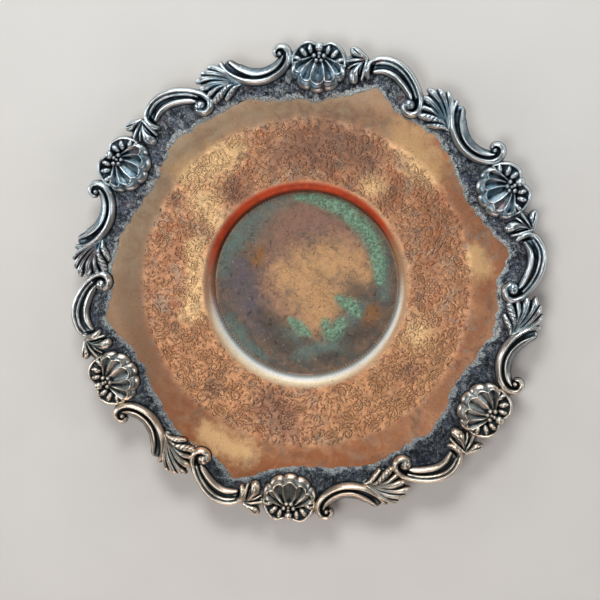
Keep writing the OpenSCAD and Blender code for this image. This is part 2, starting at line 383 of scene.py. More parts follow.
def grid_mesh(name, relief):
    """Mesh of the cells of a relief that reach above the skirt."""
    rows, cols = relief.z.shape
    index = np.arange(rows * cols).reshape(rows, cols)
    ring = (slice(0, -1), slice(0, -1)), (slice(0, -1), slice(1, None))
    ring += (slice(1, None), slice(1, None)), (slice(1, None), slice(0, -1))
    corners = np.stack([index[place] for place in ring], -1)
    highest = np.max([relief.z[place] for place in ring], axis=0)
    points = np.stack([relief.x.ravel(), relief.y.ravel(), relief.z.ravel()], -1)
    return new_mesh(name, points, corners[highest > SKIRT].tolist())


def close_foot(mesh):
    """Cut a mesh at zero height, close its foot and return its number of triangles."""
    form = bmesh.new()
    form.from_mesh(mesh)
    loose = [v for v in form.verts if not v.link_faces]
    bmesh.ops.delete(form, geom=loose, context="VERTS")
    everything = form.verts[:] + form.edges[:] + form.faces[:]
    bmesh.ops.bisect_plane(form, geom=everything, plane_co=(0, 0, 0), plane_no=(0, 0, 1), clear_inner=True)
    rim = [e for e in form.edges if e.is_boundary]
    bmesh.ops.triangle_fill(form, edges=rim, use_beauty=True)
    bmesh.ops.triangulate(form, faces=form.faces[:])
    bmesh.ops.recalc_face_normals(form, faces=form.faces[:])
    count = len(form.faces)
    form.to_mesh(mesh)
    form.free()
    return count


def face_outwards(mesh):
    form = bmesh.new()
    form.from_mesh(mesh)
    bmesh.ops.recalc_face_normals(form, faces=form.faces[:])
    form.to_mesh(mesh)
    form.free()


def raised_mesh(name, relief, triangles):
    """Closed mesh of a relief: the part above zero, over a flat underside, with a given count."""
    mesh = grid_mesh(name, relief)
    count = close_foot(mesh)
    full = scene_object(name, mesh)
    reduce = full.modifiers.new("reduce", "DECIMATE")
    reduce.ratio = min(1, triangles / count)
    graph = bpy.context.evaluated_depsgraph_get()
    result = bpy.data.meshes.new_from_object(full.evaluated_get(graph))
    bpy.data.objects.remove(full)
    bpy.data.meshes.remove(mesh)
    return result


def crest_values(relief, points):
    """How far each point stands out from its surroundings: 0 in a furrow, 1 on a crest."""
    solid = np.maximum(relief.z, 0)
    crest = 0.5 + (solid - blurred(solid, SHADE_SIZE / relief.STEP)) / SHADE_DEPTH
    crest = relief.sample(crest, points[:, 0], points[:, 1])
    return np.where(points[:, 2] < 0.05, 0, np.clip(crest, 0, 1))


def place_ornament(name, relief, triangles, first_turn, material):
    """Six turned copies of one ornament, each in the place of its CAD node."""
    local = raised_mesh(name, relief, triangles)
    points = coordinates(local)
    set_attribute(local, "crest", crest_values(relief, points))
    set_attribute(local, "height", np.clip(points[:, 2] / FULL_HEIGHT, 0, 1))
    for number in range(REPEATS):
        mesh = local.copy()
        mesh.name = f"{name}_{number + 1}"
        placed = turned(points, number + first_turn)
        placed[:, 2] += SEAT
        mesh.vertices.foreach_set("co", (placed * MM).ravel())
        finish_mesh(mesh, 50)
        mesh.materials.append(material)
        piece = scene_object(f"{name}_relief_{number + 1}", mesh)
        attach(piece, BODY)
        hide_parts(f"{name}_{number + 1}")
    bpy.data.meshes.remove(local)


# ---- plate
OUTER_OUTLINE = [
    [0, 137.5], [6.5, 137], [13, 131.5], [19, 134.5], [24, 131.5], [31, 131], [38, 132], [45, 130],
    [51.5, 125.5], [56, 119], [60, 114.5], [69, 114], [77, 112], [83, 107.5], [83.5, 101], [87, 92.5],
    [91, 87], [97, 83], [103, 82.5], [108.5, 80], [112.5, 75.5],
]
INNER_OUTLINE = [
    [0, 109.5], [11, 111], [21, 113.5], [29, 117], [35, 116.5], [40, 110], [46, 103], [54, 98.5],
    [63, 94], [72, 87], [81, 76], [88, 65.5],
]
# Radius and height of the upper face of the sheet, from the floor of the well to the flange.
PROFILE = [
    [0, 1.2], [30, 1.2], [53, 1.2], [54.2, 1.4], [55, 2.6], [55.7, 4.3], [56.7, 5.9], [58.1, 7],
    [60.1, 7.7], [63, 8.05], [75, 8.3], [88, 8.6], [93, 8.7], [98, 9.35], [103, 10.9],
    [108, 12.8], [112.5, 14], [117, 14.4], [150, 14.4],
]
SHEET = 1.2


def outline(points):
    """All six repeats of a lobed outline, as one closed curve."""
    return smooth_curve(np.vstack([turned(points, k) for k in range(REPEATS)]), 5, closed=True)


def profile_height(radius):
    curve = smooth_curve(PROFILE, 6)
    return np.interp(radius, curve[:, 0], curve[:, 1])


class Engraving:
    """Burin strokes on the sheet: lists of [x, y] points about STEP apart."""

    STEP = 0.7
    HALF_WIDTH = 0.19
    DEPTH = 0.11
    TENDRIL_TURN = 9.4
    TENDRIL_POWER = 2.1  # how much tighter a tendril winds towards its end
    GRAPE = (1.2, 1.12)
    BUNCH_ROOM = 8.0  # other strokes stay this far from the middle of a bunch

    def __init__(self, seed):
        self.random = random.Random(seed)
        self.strokes = []
        self.bunches = []

    def sweep(self, x, y, heading, length, bend, power=1.0):
        """A stroke that starts at x, y and turns by bend radians, ever faster when power is high."""
        count = max(3, round(length / self.STEP))
        points = [(x, y)]
        for i in range(count):
            angle = heading + bend * ((i + 0.5) / count) ** power
            x += length / count * math.cos(angle)
            y += length / count * math.sin(angle)
            points.append((x, y))
        self.strokes.append(points)
        return x, y

    def closed_oval(self, x, y, rx, ry):
        count = max(8, round(2 * math.pi * max(rx, ry) / self.STEP))
        turns = [2 * math.pi * i / count for i in range(count + 1)]
        self.strokes.append([(x + rx * math.cos(a), y + ry * math.sin(a)) for a in turns])

    def hatched_leaf(self, x, y, heading, length, width):
        """Almond leaf: two bowed sides, a midrib and slanting hatches."""
        bow = 4 * width / length
        for side in (-1, 1):
            self.sweep(x, y, heading + side * bow / 2, length * 1.05, -side * bow)
        self.sweep(x, y, heading, length * 0.95, 0.05)
        c, s = math.cos(heading), math.sin(heading)
        for i in range(1, 7):
            t = i / 7
            reach = 0.42 * width * math.sin(math.pi * t)
            u = x + length * t * c
            v = y + length * t * s
            self.sweep(u, v, heading + 0.8, reach, 0)
            self.sweep(u, v, heading - 0.8, reach, 0)

    def scroll(self, x, y, heading, size, hand):
        """Tendril that winds in on itself, with comma leaves along its outer side."""
        turn = hand * self.TENDRIL_TURN
        length = size * 4.0
        winding = self.TENDRIL_POWER + 1
        self.sweep(x, y, heading, length, turn, self.TENDRIL_POWER)
        for i in range(7):
            t = 0.06 + 0.1 * i
            angle = heading + turn * t**winding / winding
            u = x + length * t * math.cos(angle) * 0.92
            v = y + length * t * math.sin(angle) * 0.92
            side = angle - hand * 1.1
            end = self.sweep(u, v, side, size * 0.42, hand * 1.7)
            self.sweep(end[0], end[1], side + math.pi, size * 0.36, -hand * 1.0)

    def grapes(self, x, y, heading):
        """Bunch of grapes hanging outwards, with its stalk and two hatched leaves."""
        self.bunches.append((x, y))
        c, s = math.cos(heading), math.sin(heading)
        for row, across in enumerate((3, 4, 3, 2)):
            for i in range(across):
                u = 2.9 * (row - 1.4)
                v = 3.1 * (i - (across - 1) / 2)
                u += self.random.uniform(-0.2, 0.2)
                v += self.random.uniform(-0.2, 0.2)
                self.closed_oval(x + u * c - v * s, y + u * s + v * c, *self.GRAPE)
        self.sweep(x - 6.6 * c, y - 6.6 * s, heading + math.pi + 0.4, 6, -1.4)
        for side in (-1, 1):
            u, v = -6.2, side * 2.2
            leaf = heading + math.pi - side * 1.3
            self.hatched_leaf(x + u * c - v * s, y + u * s + v * c, leaf, 7.5, 3.6)

    def flicks(self, count, low, high, spacing, longest):
        """Comma strokes scattered over a ring between two radii."""
        kept = []
        for _ in range(count * 3):
            radius = math.sqrt(self.random.uniform(low**2, high**2))
            around = self.random.uniform(0, 2 * math.pi)
            x, y = radius * math.cos(around), radius * math.sin(around)
            if any((x - a) ** 2 + (y - b) ** 2 < spacing**2 for a, b in kept):
                continue
            if any((x - a) ** 2 + (y - b) ** 2 < self.BUNCH_ROOM**2 for a, b in self.bunches):
                continue
            kept.append((x, y))
            swirl = math.sin(x / 7 + 1.3 * math.sin(y / 9)) + math.cos(y / 6.1 - x / 17)
            heading = around + math.pi / 2 + 1.5 * swirl + self.random.uniform(-0.6, 0.6)
            length = self.random.uniform(0.4, 1) * longest
            hand = 1 if math.sin(x / 11 - y / 8) > 0 else -1
            self.sweep(x, y, heading, length, hand * self.random.uniform(0.8, 4.4))
            if len(kept) == count:
                break


# Scratches at the edge of the well's floor, and the middles of the six bunches.
SCRATCHES = (
    [[-50.4, 7.4], [-49.2, 6.5], [-47.8, 5.9], [-46.3, 5]],
    [[-50.2, 6], [-49.4, 5.2], [-48.8, 5]],
)
BUNCHES = ((75, 3.5), (75.5, -14.5), (-72.7, 13.5), (-72.7, -8.4), (-4.7, -81.6), (9.0, 80.0))


# On each side of a quarter's middle: angle from it, radius, size and lean of the scrolls, then angle,
# radius, lean and length of the leaves.
SCROLLS = ((15, 90, 6.5, 0.5), (24, 70, 7.5, -0.4), (33, 86, 8.5, 0.2), (42, 68, 6.5, 0), (17, 66, 5.5, 0.6))
LEAVES = ((11, 92, 0.4, 9), (20, 80, -0.7, 8), (28, 93, 0.2, 9), (38, 78, 1, 8), (41, 91, -0.3, 8))
LEAF_WIDTH = 4.2
BAND = (61.6, 97.5)
WELL_EDGE = 54.5


def engraved_band(seed):
    """The pattern of the band: bunches at the four sides, scrolls, leaves and flicks between."""
    e = Engraving(seed)
    for x, y in BUNCHES:
        e.grapes(x, y, math.atan2(y, x))
    for side in (0, 90, 180, 270):
        for hand in (-1, 1):
            for turn, radius, size, lean in SCROLLS:
                a = math.radians(side + hand * (turn + e.random.uniform(-1.5, 1.5)))
                heading = a + hand * (math.pi / 2 + lean)
                e.scroll(radius * math.cos(a), radius * math.sin(a), heading, size, -hand)
            for turn, radius, lean, length in LEAVES:
                a = math.radians(side + hand * turn)
                heading = a + hand * (math.pi / 2 + lean)
                e.hatched_leaf(radius * math.cos(a), radius * math.sin(a), heading, length, LEAF_WIDTH)
    e.flicks(1300, 62.5, 97.0, 2.1, 4.6)
    e.flicks(1000, 62.5, 98.0, 2.3, 1.8)
    e.flicks(80, 8.0, 46.0, 5.0, 4.0)
    e.strokes.extend(SCRATCHES)
    return e


def lies_between(points, low, high):
    radius = np.hypot(points[:, 0], points[:, 1])
    return radius.min() > low and radius.max() < high


def stroke_chains(engraving):
    """Left, middle and right points of each stroke, and its edges, for the triangulation."""
    vertices, edges, middles = [], [], []
    full = engraving.HALF_WIDTH
    for stroke in engraving.strokes:
        middle = np.array(stroke)
        if not lies_between(middle, 0, WELL_EDGE - 3) and not lies_between(middle, *BAND):
            continue
        along = np.gradient(middle, axis=0)
        along /= np.maximum(np.hypot(along[:, 0], along[:, 1]), 1e-9)[:, None]
        across = np.stack([-along[:, 1], along[:, 0]], -1)
        t = np.linspace(0, 1, len(middle))
        width = full * np.clip(np.minimum(t, 1 - t) * 4, 0.08, 1)[:, None]
        for offset in (-1, 0, 1):
            start = len(vertices)
            vertices.extend((middle + offset * width * across).tolist())
            edges.extend((start + i, start + i + 1) for i in range(len(middle) - 1))
        middles.append(smooth_curve(np.hstack([middle, width]), 4))
    return vertices, edges, np.vstack(middles)


# Rings of points over the sheet, close together where its section bends: from, to and spacing.
RINGS = ((1.2, 52.4, 1.7), (52.4, 62.6, 0.75), (63.6, 96.5, 1.6), (97, 112, 1.1), (113.5, 150, 2.2))
RIM_ROOM = 0.9


def polar_points(limit):
    """Points in rings over the sheet, staggered, up to its rim."""
    points = []
    for number, radius in enumerate(np.concatenate([np.arange(*ring) for ring in RINGS])):
        count = max(6, int(2 * math.pi * radius / 1.9))
        angles = 2 * math.pi * (np.arange(count) + 0.5 * (number % 2)) / count
        ring = np.stack([radius * np.sin(angles), radius * np.cos(angles)], -1)
        keep = radius < limit(ring) - RIM_ROOM
        points.extend(ring[keep].tolist())
    return points


def outline_radius(curve):
    """Function that gives the radius of an outline in the direction of each point."""
    bearing = np.arctan2(curve[:, 0], curve[:, 1]) % (2 * math.pi)
    order = np.argsort(bearing)
    radius = np.hypot(curve[:, 0], curve[:, 1])

    def limit(points):
        wanted = np.arctan2(points[:, 0], points[:, 1]) % (2 * math.pi)
        return np.interp(wanted, bearing[order], radius[order], period=2 * math.pi)

    return limit


def undulation(x, y, seed):
    """Slow hammered unevenness of thin sheet, in millimetres."""
    rng = random.Random(seed)
    total = np.zeros(len(x))
    for _ in range(14):
        wave = 2 * math.pi / rng.uniform(22, 62)
        heading = rng.uniform(0, 2 * math.pi)
        phase = rng.uniform(0, 2 * math.pi)
        size = rng.uniform(0.01, 0.035)
        total += size * np.sin(wave * (x * math.cos(heading) + y * math.sin(heading)) + phase)
    return total


def closeness(x, y, spines):
    """1 on a set of [x, y, half width] curves, 0 at their edges and less beyond."""
    best = np.full(len(x), -9.0)
    for spine in spines:
        path = smooth_curve(spine, 4)
        if len(path) == 1:
            path = np.vstack([path, path])
        for a, b in zip(path, path[1:]):
            t, distance, _ = along_segment(x, y, a, b)
            best = np.maximum(best, 1 - distance / (a[2] + (b[2] - a[2]) * t))
    return best


# Where each colour of tarnish lies, with the painted highlights and painted shade of the band and the side:
# curves of [x, y, half width].
TARNISH_AND_LIGHT = {
    "verdigris": (
        [[-9, 51, 2], [4, 50.5, 3.5], [18, 46, 4.5], [29, 38, 4.8], [37, 28, 4.6], [42, 16, 4],
         [43.5, 5, 2.5]],
        [[20, -7, 2.2], [27, -11, 4.2], [31, -15, 2.6]],
        [[13, -23, 3.2], [18, -28, 4.6], [22, -21, 3]],
        [[-8, -22, 2], [-3, -26, 3.4], [3, -30, 2]],
    ),
    "teal": (
        [[-50, 4, 4], [-48, 16, 6], [-40, 30, 8], [-28, 42, 7], [-16, 49, 4]],
        [[-44, -26, 4], [-34, -38, 3], [-22, -46, 2]],
        [[-2, -42, 4], [10, -38, 4], [20, -34, 5], [26, -20, 5], [34, -12, 4]],
        [[47, -4, 3], [45, 8, 4], [41, 20, 5]],
        [[-14, -30, 4], [-4, -32, 4]],
    ),
    "plum": (
        [[-41, 8, 6], [-37, -6, 9], [-32, -18, 7], [-24, -30, 4]],
        [[-15, 10, 4], [-17, -2, 5]],
        [[2, 36, 4], [14, 33, 5], [26, 26, 4]],
    ),
    "rose": (
        [[-20, 10, 9], [-15, 26, 12], [-6, 38, 11], [8, 38, 10], [22, 32, 9], [31, 20, 7]],
        [[-22, 0, 6], [-14, -14, 6], [2, -24, 5], [14, -16, 5]],
    ),
    "gold": (
        [[-14, 6, 7], [-2, 0, 14], [6, -8, 14], [9, -20, 8]],
        [[0, 10, 11], [16, 14, 12], [27, 15, 9], [34, 8, 5]],
    ),
    "amber": ([[41, -14, 4], [38, -20, 3]], [[-31, 12, 3], [-28, 18, 2]]),
    # Painted shade on the band, darkest at its top, and dark stains on the floor of the well.
    "shade_and_dark_stain": (
        [[-26, -22, 5], [-18, -30, 6], [-8, -38, 5]],
        [[13, -44, 3], [20, -42, 3]],
        [[26, -30, 5], [38, -24, 4]],
        [[-20, 76, 8], [-4, 82, 15], [18, 84, 14], [32, 74, 8]],
        [[-44, 52, 7]],
        [[30, 76, 7]],
        [[66, -46, 5]],
        [[-50, -66, 5]],
        [[-18, -72, 8], [-6, -86, 7]],
    ),
    # Painted highlights: golden patches on the band and the sloping side.
    "highlight_patch": (
        [[-76, 60, 7], [-62, 64, 9], [-48, 76, 7]],
        [[-62, 44, 9], [-56, 34, 7]],
        [[50, 92, 7], [58, 84, 9], [68, 72, 8]],
        [[97, 28, 4], [101, 18, 6]],
        [[-66, 18, 6], [-64, -2, 6], [-66, -22, 6]],
        [[68, -22, 8]],
        [[-52, -92, 6], [-40, -99, 8], [-28, -102, 6]],
        [[36, 62, 6]],
    ),
}


def facing(bearing, degrees):
    """Cosine of the angle between each bearing and a given one."""
    return np.cos(bearing - math.radians(degrees))


WALL_TOP = 58.8


def tarnish_and_light_attributes(mesh, x, y, top):
    """Masks for the tarnish of the upper face, where top is 1, with the parts of its section and the places
    where reflections, highlights and shade are painted on it.
    """
    radius = np.hypot(x, y)
    bearing = np.arctan2(x, y)
    for name, spines in TARNISH_AND_LIGHT.items():
        set_attribute(mesh, name, np.where(top > 0, np.clip(closeness(x, y, spines), -3, 1), -3))
    wall = top * smoothstep(WELL_EDGE - 0.4, WELL_EDGE + 0.6, radius)
    # Painted red reflection on the far side of the wall, reaching higher up the lip where it faces furthest
    # away.
    far = facing(bearing, -12)
    red_end = WALL_TOP + 2.4 * np.clip(far, 0, 1)
    red = smoothstep(0.12, 0.55, far) * (1 - smoothstep(-1.6, 0.6, radius - red_end))
    # Painted white highlight on the near side of the wall.
    pale_end = WALL_TOP + 2.8 * np.clip(facing(bearing, 200), 0, 1)
    pale = smoothstep(-0.10, 0.36, facing(bearing, 169)) * (1 - smoothstep(-2.4, 1.0, radius - pale_end))
    # The band is made brighter towards the lower right and, less, towards the lower left.
    band = smoothstep(60, 64, radius) * (1 - smoothstep(94, 98, radius))
    right = smoothstep(0.72, 0.98, facing(bearing, 138))
    left = smoothstep(0.80, 0.98, facing(bearing, 222))
    masks = {
        "floor": top * (1 - smoothstep(WELL_EDGE - 1.0, WELL_EDGE + 0.8, radius)),
        "red_wall_reflection": wall * red,
        "wall_highlight": wall * pale,
        "lip": smoothstep(WELL_EDGE, 60.5, radius),
        "wall": wall * (1 - smoothstep(59.0, 62.5, radius)),
        "side": smoothstep(96, 101, radius),
        # Painted shade on the west of the sloping side and of the wall.
        "west_shade": np.clip(-np.sin(bearing), 0, 1),
        # Paler towards the upper left, over the edge of the band and the side.
        "paler_upper_left": smoothstep(0.1, 0.9, facing(bearing, -35)) * smoothstep(92, 104, radius),
        # Painted red reflection at the bottom of the sloping side.
        "red_side_reflection": smoothstep(0.5, 0.95, facing(bearing, 188)) * smoothstep(94, 102, radius),
        # Brighter towards the lower right and lower left of the band.
        "brighter_lower_band": band * (right + 0.7 * left),
    }
    for name, values in masks.items():
        set_attribute(mesh, name, values)


def flat_triangles(points, edges):
    """Triangulation inside a rim, whose loop comes first in both lists, and what became of each point."""
    flat = [Vector(p) for p in points]
    vertices, _, faces, source = delaunay_2d_cdt(flat, edges, [], 1, 1e-5)[:4]
    return np.array([tuple(v) for v in vertices]), faces, source


def groove_share(points, middles):
    """How deep each point lies in its nearest stroke: 1 on the middle line, 0 outside."""
    tree = KDTree(len(middles))
    for i, (x, y, _) in enumerate(middles):
        tree.insert((x, y, 0), i)
    tree.balance()
    found = [tree.find((x, y, 0))[1:] for x, y in points]
    width = middles[[place for place, _ in found], 2]
    away = np.array([distance for _, distance in found])
    return np.clip(1 - away / width, 0, 1) * width / Engraving.HALF_WIDTH


def rim_places(source, count):
    """Where each of the first count points is after a triangulation."""
    return {old: new for new, olds in enumerate(source) for old in olds if old < count}


def tray_mesh(name):
    """The copper sheet: engraved upper face, underside and rim as one closed mesh."""
    rim = outline(OUTER_OUTLINE)
    count = len(rim)
    loop = [(i, (i + 1) % count) for i in range(count)]
    strokes, stroke_edges, middles = stroke_chains(engraved_band(11))
    plain = rim[:, :2].tolist() + polar_points(outline_radius(rim))
    shift = len(plain)
    edges = loop + [(a + shift, b + shift) for a, b in stroke_edges]
    upper, top_faces, top_source = flat_triangles(plain + strokes, edges)
    lower, base_faces, base_source = flat_triangles(plain, loop)
    cut = groove_share(upper, middles)
    height = profile_height(np.hypot(upper[:, 0], upper[:, 1]))
    height += undulation(upper[:, 0], upper[:, 1], 5) - Engraving.DEPTH * cut
    depth = profile_height(np.hypot(lower[:, 0], lower[:, 1])) - SHEET
    points = np.vstack([np.column_stack([upper, height]), np.column_stack([lower, depth])])
    offset = len(upper)
    faces = [tuple(f) for f in top_faces] + [tuple(offset + i for i in reversed(f)) for f in base_faces]
    top_of = rim_places(top_source, count)
    base_of = rim_places(base_source, count)
    faces.extend((top_of[a], offset + base_of[a], offset + base_of[b], top_of[b]) for a, b in loop)
    mesh = new_mesh(name, points * MM, faces)
    face_outwards(mesh)
    set_attribute(mesh, "groove", np.concatenate([cut, np.zeros(len(lower))]))
    top_side = np.concatenate([np.ones(len(upper)), np.zeros(len(lower))])
    tarnish_and_light_attributes(mesh, points[:, 0], points[:, 1], top_side)
    finish_mesh(mesh, 40)
    return mesh


# ---- border ring
# For each repeat, how far the ring laps over the copper, and how much more in the bay beside
# the leaf clasp, where the six castings were soldered on less evenly.
SOLDER_LAP = ((0.6, 0.5), (2.2, 1.5), (2.4, 6.5), (-2.0, -0.5), (0.8, 1.5), (2.6, 7.5))
BAY_BEARING = 16.5  # degrees
BAY_WIDTH = 5.5  # degrees
AROUND = 1240  # points of the ring's grid
ACROSS = 32
UNDERSIDE_ROWS = [0, 2, 4, 7, 10, 14, 19, 25, ACROSS - 1]  # those the plainer underside keeps
MARGIN = 120  # spare points at each end of the ragged edge, for the blur


def solder_lap(bearing):
    repeat = np.degrees(bearing) / (360 / REPEATS)
    middles = np.arange(REPEATS) + 0.5
    lap = np.interp(repeat, middles, [lap for lap, _ in SOLDER_LAP], period=REPEATS)
    lap = lap + 1.5 * np.cos(2 * math.pi * repeat)
    for number, (_, bay) in enumerate(SOLDER_LAP):
        off = np.degrees(bearing) - number * 360 / REPEATS - BAY_BEARING
        lap = lap + bay * np.exp(-((off / BAY_WIDTH) ** 2))
    return lap


def inner_edge(rng, direction, bearing):
    """Radius of the ragged line where the ring is soldered to the copper."""
    rough = rng.normal(size=AROUND + 2 * MARGIN)
    uneven = blurred(rough[:, None], 2.2)[:, 0] * 1.3 + blurred(rough[::-1][:, None], 9.0)[:, 0] * 3.0
    ragged = np.clip(uneven[MARGIN:-MARGIN], -0.9, 1.3)
    return outline_radius(outline(INNER_OUTLINE))(direction) + ragged - solder_lap(bearing)


def ring_faces():
    """Quads of the ring: upper grid, underside rows, and the two edges between them."""
    faces = []
    start, width = AROUND * ACROSS, len(UNDERSIDE_ROWS)
    for i in range(AROUND):
        j = (i + 1) % AROUND
        a, b = i * ACROSS, j * ACROSS
        c, d = start + i * width, start + j * width
        faces.extend((a + k, b + k, b + k + 1, a + k + 1) for k in range(ACROSS - 1))
        faces.extend((c + k, c + k + 1, d + k + 1, d + k) for k in range(width - 1))
        faces.append((a, c, d, b))
        faces.append((a + ACROSS - 1, b + ACROSS - 1, d + width - 1, c + width - 1))
    return faces


def ring_mesh(name):
    """The oxidised silver ground of the border: a crusty plate with an uneven solder edge."""
    rng = np.random.default_rng(23)
    bearing = 2 * math.pi * np.arange(AROUND) / AROUND
    direction = np.stack([np.sin(bearing), np.cos(bearing)], -1)
    outer = outline_radius(outline(OUTER_OUTLINE))(direction) - 0.15
    inner = inner_edge(rng, direction, bearing)
    share = np.linspace(0, 1, ACROSS) ** 1.25
    radius = inner[:, None] + (outer - inner)[:, None] * share[None, :]
    size = (AROUND, ACROSS)
    fine = blurred(rng.normal(size=size), 0.9)
    coarse = blurred(rng.normal(size=size), 3.2)
    crust = 0.16 * fine / fine.std() + 0.14 * coarse / coarse.std()
    crust = crust - 0.35 * np.clip(blurred(rng.normal(size=size), 1.1) / 0.25 - 1.1, 0, 1.4)
    from_inner = radius - inner[:, None]
    edge = smoothstep(0, 1.6, from_inner) * smoothstep(-0.2, 0.9, outer[:, None] - radius)
    seat = profile_height(radius)
    top = seat - 0.05 + edge * (0.75 + 0.75 * np.clip(crust, -0.6, 0.6))
    x = radius * direction[:, 0:1]
    y = radius * direction[:, 1:2]
    upper = np.stack([x, y, top], -1).reshape(-1, 3)
    below = np.stack([x, y, seat - 0.3], -1)[:, UNDERSIDE_ROWS].reshape(-1, 3)
    mesh = new_mesh(name, np.vstack([upper, below]) * MM, ring_faces())
    face_outwards(mesh)
    none = np.zeros(len(below))
    set_attribute(mesh, "crust", np.concatenate([np.clip(0.5 + crust, 0, 1).ravel(), none]))
    solder = 1 - smoothstep(0.6, 4.2, from_inner + 1.2 * coarse / coarse.std())
    set_attribute(mesh, "solder", np.concatenate([solder.ravel(), none]))
    finish_mesh(mesh, 60)
    return mesh


# ---- materials
class Shader:
    """A node material built up by small steps; scales are in millimetres."""

    TEAR = 4.5  # how far a noise pushes the border of a patch of tarnish, painted highlight and painted shade

    def __init__(self, name):
        self.material = bpy.data.materials.new(name)
        self.material.use_nodes = True
        self.tree = self.material.node_tree
        self.surface = self.tree.nodes["Principled BSDF"]
        self.place = self.node("ShaderNodeTexCoord").outputs["Object"]

    def node(self, kind, inputs=None, **settings):
        made = self.tree.nodes.new(kind)
        for key, value in settings.items():
            setattr(made, key, value)
        for key, value in (inputs or {}).items():
            self.feed(made.inputs[key], value)
        return made

    def feed(self, socket, value):
        if isinstance(value, bpy.types.NodeSocket):
            self.tree.links.new(value, socket)
        else:
            socket.default_value = value

    def attribute(self, name):
        return self.node("ShaderNodeAttribute", attribute_name=name).outputs["Fac"]

    def noise(self, size, detail=4.0, roughness=0.55, distortion=0.0):
        inputs = {"Vector": self.place, "Scale": 1 / (size * MM), "Detail": detail}
        inputs.update({"Roughness": roughness, "Distortion": distortion})
        return self.node("ShaderNodeTexNoise", inputs).outputs["Fac"]

    def cells(self, size):
        inputs = {"Vector": self.place, "Scale": 1 / (size * MM)}
        return self.node("ShaderNodeTexVoronoi", inputs).outputs["Distance"]

    def lower_side(self):
        """1 on the side of the salver towards -Y, 0 on the other."""
        split = self.node("ShaderNodeSeparateXYZ", {0: self.place})
        return self.span(split.outputs["Y"], -90 * MM, 30 * MM, 1, 0)

    def squiggles(self, size, width):
        """Thin wandering lines, where a noise crosses its middle value."""
        offset = self.math("ABSOLUTE", self.math("SUBTRACT", self.noise(size, 1.5, 0.5, 1.4), 0.5))
        return self.span(offset, 0.0, width, 1, 0)

    def math(self, operation, a, b=0.0):
        return self.node("ShaderNodeMath", {0: a, 1: b}, operation=operation).outputs[0]

    def times(self, a, b):
        return self.math("MULTIPLY", a, b)

    def span(self, value, low, high, to_low=0.0, to_high=1.0):
        """Smooth step of a value from low..high to to_low..to_high."""
        inputs = dict(enumerate((value, low, high, to_low, to_high)))
        made = self.node("ShaderNodeMapRange", inputs, interpolation_type="SMOOTHSTEP")
        return made.outputs["Result"]

    def patch(self, name, noise, ragged, soft):
        """Mask of a patch of tarnish, painted highlight and painted shade whose border is broken up by a
        noise.
        """
        torn = self.times(self.math("SUBTRACT", noise, 0.5), ragged * self.TEAR)
        return self.span(self.math("ADD", self.attribute(name), torn), -soft, soft)

    def mix(self, amount, a, b):
        made = self.node("ShaderNodeMix", data_type="RGBA")
        colours = [socket for socket in made.inputs if socket.type == "RGBA"]
        self.feed(made.inputs[0], amount)
        self.feed(colours[0], a)
        self.feed(colours[1], b)
        return [socket for socket in made.outputs if socket.type == "RGBA"][0]

    def tint(self, tone, amount, *rgb):
        """A tone turned towards an sRGB colour."""
        return self.mix(amount, tone, colour(*rgb))

    def clouded(self, tone, *clouds):
        """A tone under clouds of other colours: noise, low, high, strength and sRGB colour of each."""
        for noise, low, high, strength, rgb in clouds:
            tone = self.tint(tone, self.span(noise, low, high, 0, strength), *rgb)
        return tone

    def blend(self, amount, a, b):
        """Mix of two plain values."""
        rest = self.math("SUBTRACT", 1.0, amount)
        return self.math("ADD", self.times(amount, b), self.times(rest, a))

    def bump(self, height, distance, strength, below=None):
        inputs = {"Height": height, "Distance": distance * MM, "Strength": strength}
        if below is not None:
            inputs["Normal"] = below
        return self.node("ShaderNodeBump", inputs).outputs["Normal"]

    def finish(self, tone, metallic, roughness, normal):
        values = {"Base Color": tone, "Metallic": metallic, "Roughness": roughness, "Normal": normal}
        for key, value in values.items():
            self.feed(self.surface.inputs[key], value)
        return self.material


def colour(red, green, blue):
    """Linear colour of an sRGB triple from 0 to 255."""
    linear = []
    for value in (red, green, blue):
        v = value / 255
        linear.append(v / 12.92 if v <= 0.04045 else ((v + 0.055) / 1.055) ** 2.4)
    return (*linear, 1.0)


